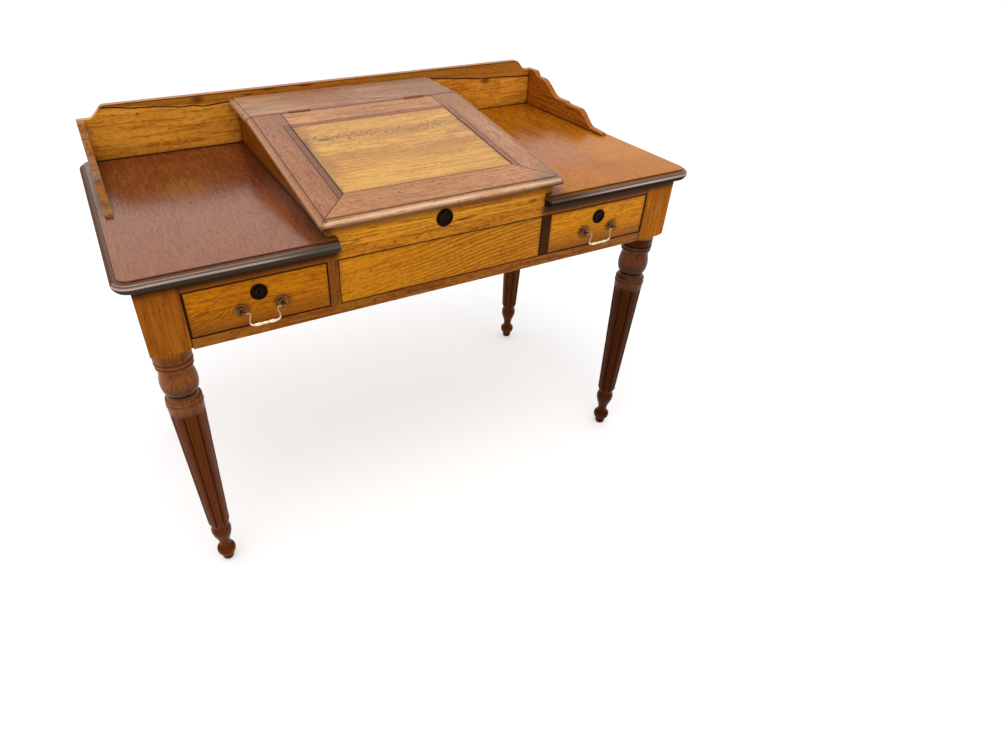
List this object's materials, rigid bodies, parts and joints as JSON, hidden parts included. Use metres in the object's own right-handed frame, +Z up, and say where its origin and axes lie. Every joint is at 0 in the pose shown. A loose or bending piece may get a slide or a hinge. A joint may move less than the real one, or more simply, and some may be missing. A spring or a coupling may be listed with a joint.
{
  "type": "plantation desk",
  "caption": "Plantation desk with a hinged sloping writing lid over a well, a drawer on each side, a low scrolled gallery and turned, reeded legs.",
  "frame": {"origin": "on the floor, under the middle of the top", "axes": "+X to the sitter's right, -Y towards the sitter (front), +Z up"},
  "size_m": [1.22, 0.648, 0.875],
  "materials": {
    "honey_pine": "gloss varnish over honey-coloured pine",
    "dark_leg": "gloss varnish over dark brown stain",
    "brown_divider": "gloss varnish",
    "dark_divider": "gloss varnish",
    "raw_pine": "bare pine, unfinished",
    "red_brown_top": "gloss varnish over red-brown stain",
    "faded_pink_wood": "worn, greyed varnish",
    "pink_brown_wood": "worn varnish",
    "orange_pine": "varnish",
    "pale_pine": "varnish over pale pine",
    "dark_bead": "varnish",
    "black_brown_wood": "dark polish",
    "bronze": "aged, brown patina",
    "dark_bronze": "dark patina",
    "lock_brass": "dull, aged",
    "steel": "plain"
  },
  "bodies": {
    "frame": {"front_left_leg": "dark_leg", "front_right_leg": "dark_leg", "rear_left_leg": "dark_leg", "rear_right_leg": "dark_leg", "top_rail": "honey_pine", "lower_rail": "honey_pine", "center_panel": "honey_pine", "left_divider": "brown_divider", "right_divider": "dark_divider", "left_apron": "honey_pine", "right_apron": "honey_pine", "rear_apron": "honey_pine", "left_partition": "raw_pine", "right_partition": "raw_pine", "well_bottom": "raw_pine", "left_wing": "red_brown_top", "right_wing": "red_brown_top", "left_box_side": "honey_pine", "right_box_side": "honey_pine", "box_front": "honey_pine", "box_back": "raw_pine", "hinge_board": "faded_pink_wood", "gallery_back": "honey_pine", "gallery_left_side": "honey_pine", "gallery_right_side": "honey_pine", "drawer_runners": "raw_pine", "drawer_kickers": "raw_pine", "drawer_stops": "raw_pine", "fixed_hinge_leaves": "dark_bronze", "hinge_pins": "steel", "lid_lock_case": "lock_brass", "lid_escutcheon": "black_brown_wood"},
    "lid": {"lid_left_stile": "pink_brown_wood", "lid_right_stile": "pink_brown_wood", "lid_top_rail": "orange_pine", "lid_bottom_rail": "pink_brown_wood", "lid_panel": "pale_pine", "lid_beads": "dark_bead", "lid_moulding": "pink_brown_wood", "lid_hinge_leaves": "dark_bronze", "lid_strike": "lock_brass"},
    "lid_bolt": {"lid_lock_bolt": "lock_brass"},
    "left_drawer": {"left_drawer_front": "honey_pine", "left_drawer_sides": "raw_pine", "left_drawer_back": "raw_pine", "left_drawer_bottom": "raw_pine", "left_drawer_lock": "lock_brass", "left_drawer_escutcheon": "black_brown_wood", "left_handle_posts": "bronze"},
    "left_bail": {"left_bail": "bronze"},
    "left_bolt": {"left_lock_bolt": "lock_brass"},
    "right_drawer": {"right_drawer_front": "honey_pine", "right_drawer_sides": "raw_pine", "right_drawer_back": "raw_pine", "right_drawer_bottom": "raw_pine", "right_drawer_lock": "lock_brass", "right_drawer_escutcheon": "black_brown_wood", "right_handle_posts": "bronze"},
    "right_bail": {"right_bail": "bronze"},
    "right_bolt": {"right_lock_bolt": "lock_brass"}
  },
  "joints": [
    {"name": "lid_hinge", "type": "hinge", "parent": "frame", "child": "lid", "pos_m": [0, 0.14, 0.857], "axis": [-1, 0, 0], "range_deg": [0, 180]},
    {"name": "lid_lock_slide", "type": "slide", "parent": "frame", "child": "lid_bolt", "axis": [0, 0, 1], "range_m": [0, 0.006]},
    {"name": "left_drawer_slide", "type": "slide", "parent": "frame", "child": "left_drawer", "axis": [0, -1, 0], "range_m": [0, 0.36]},
    {"name": "left_bail_hinge", "type": "hinge", "parent": "left_drawer", "child": "left_bail", "pos_m": [-0.379, -0.313, 0.654], "axis": [-1, 0, 0], "range_deg": [-20, 110]},
    {"name": "left_lock_slide", "type": "slide", "parent": "left_drawer", "child": "left_bolt", "axis": [0, 0, 1], "range_m": [0, 0.006]},
    {"name": "right_drawer_slide", "type": "slide", "parent": "frame", "child": "right_drawer", "axis": [0, -1, 0], "range_m": [0, 0.36]},
    {"name": "right_bail_hinge", "type": "hinge", "parent": "right_drawer", "child": "right_bail", "pos_m": [0.379, -0.313, 0.654], "axis": [-1, 0, 0], "range_deg": [-20, 110]},
    {"name": "right_lock_slide", "type": "slide", "parent": "right_drawer", "child": "right_bolt", "axis": [0, 0, 1], "range_m": [0, 0.006]}
  ]
}
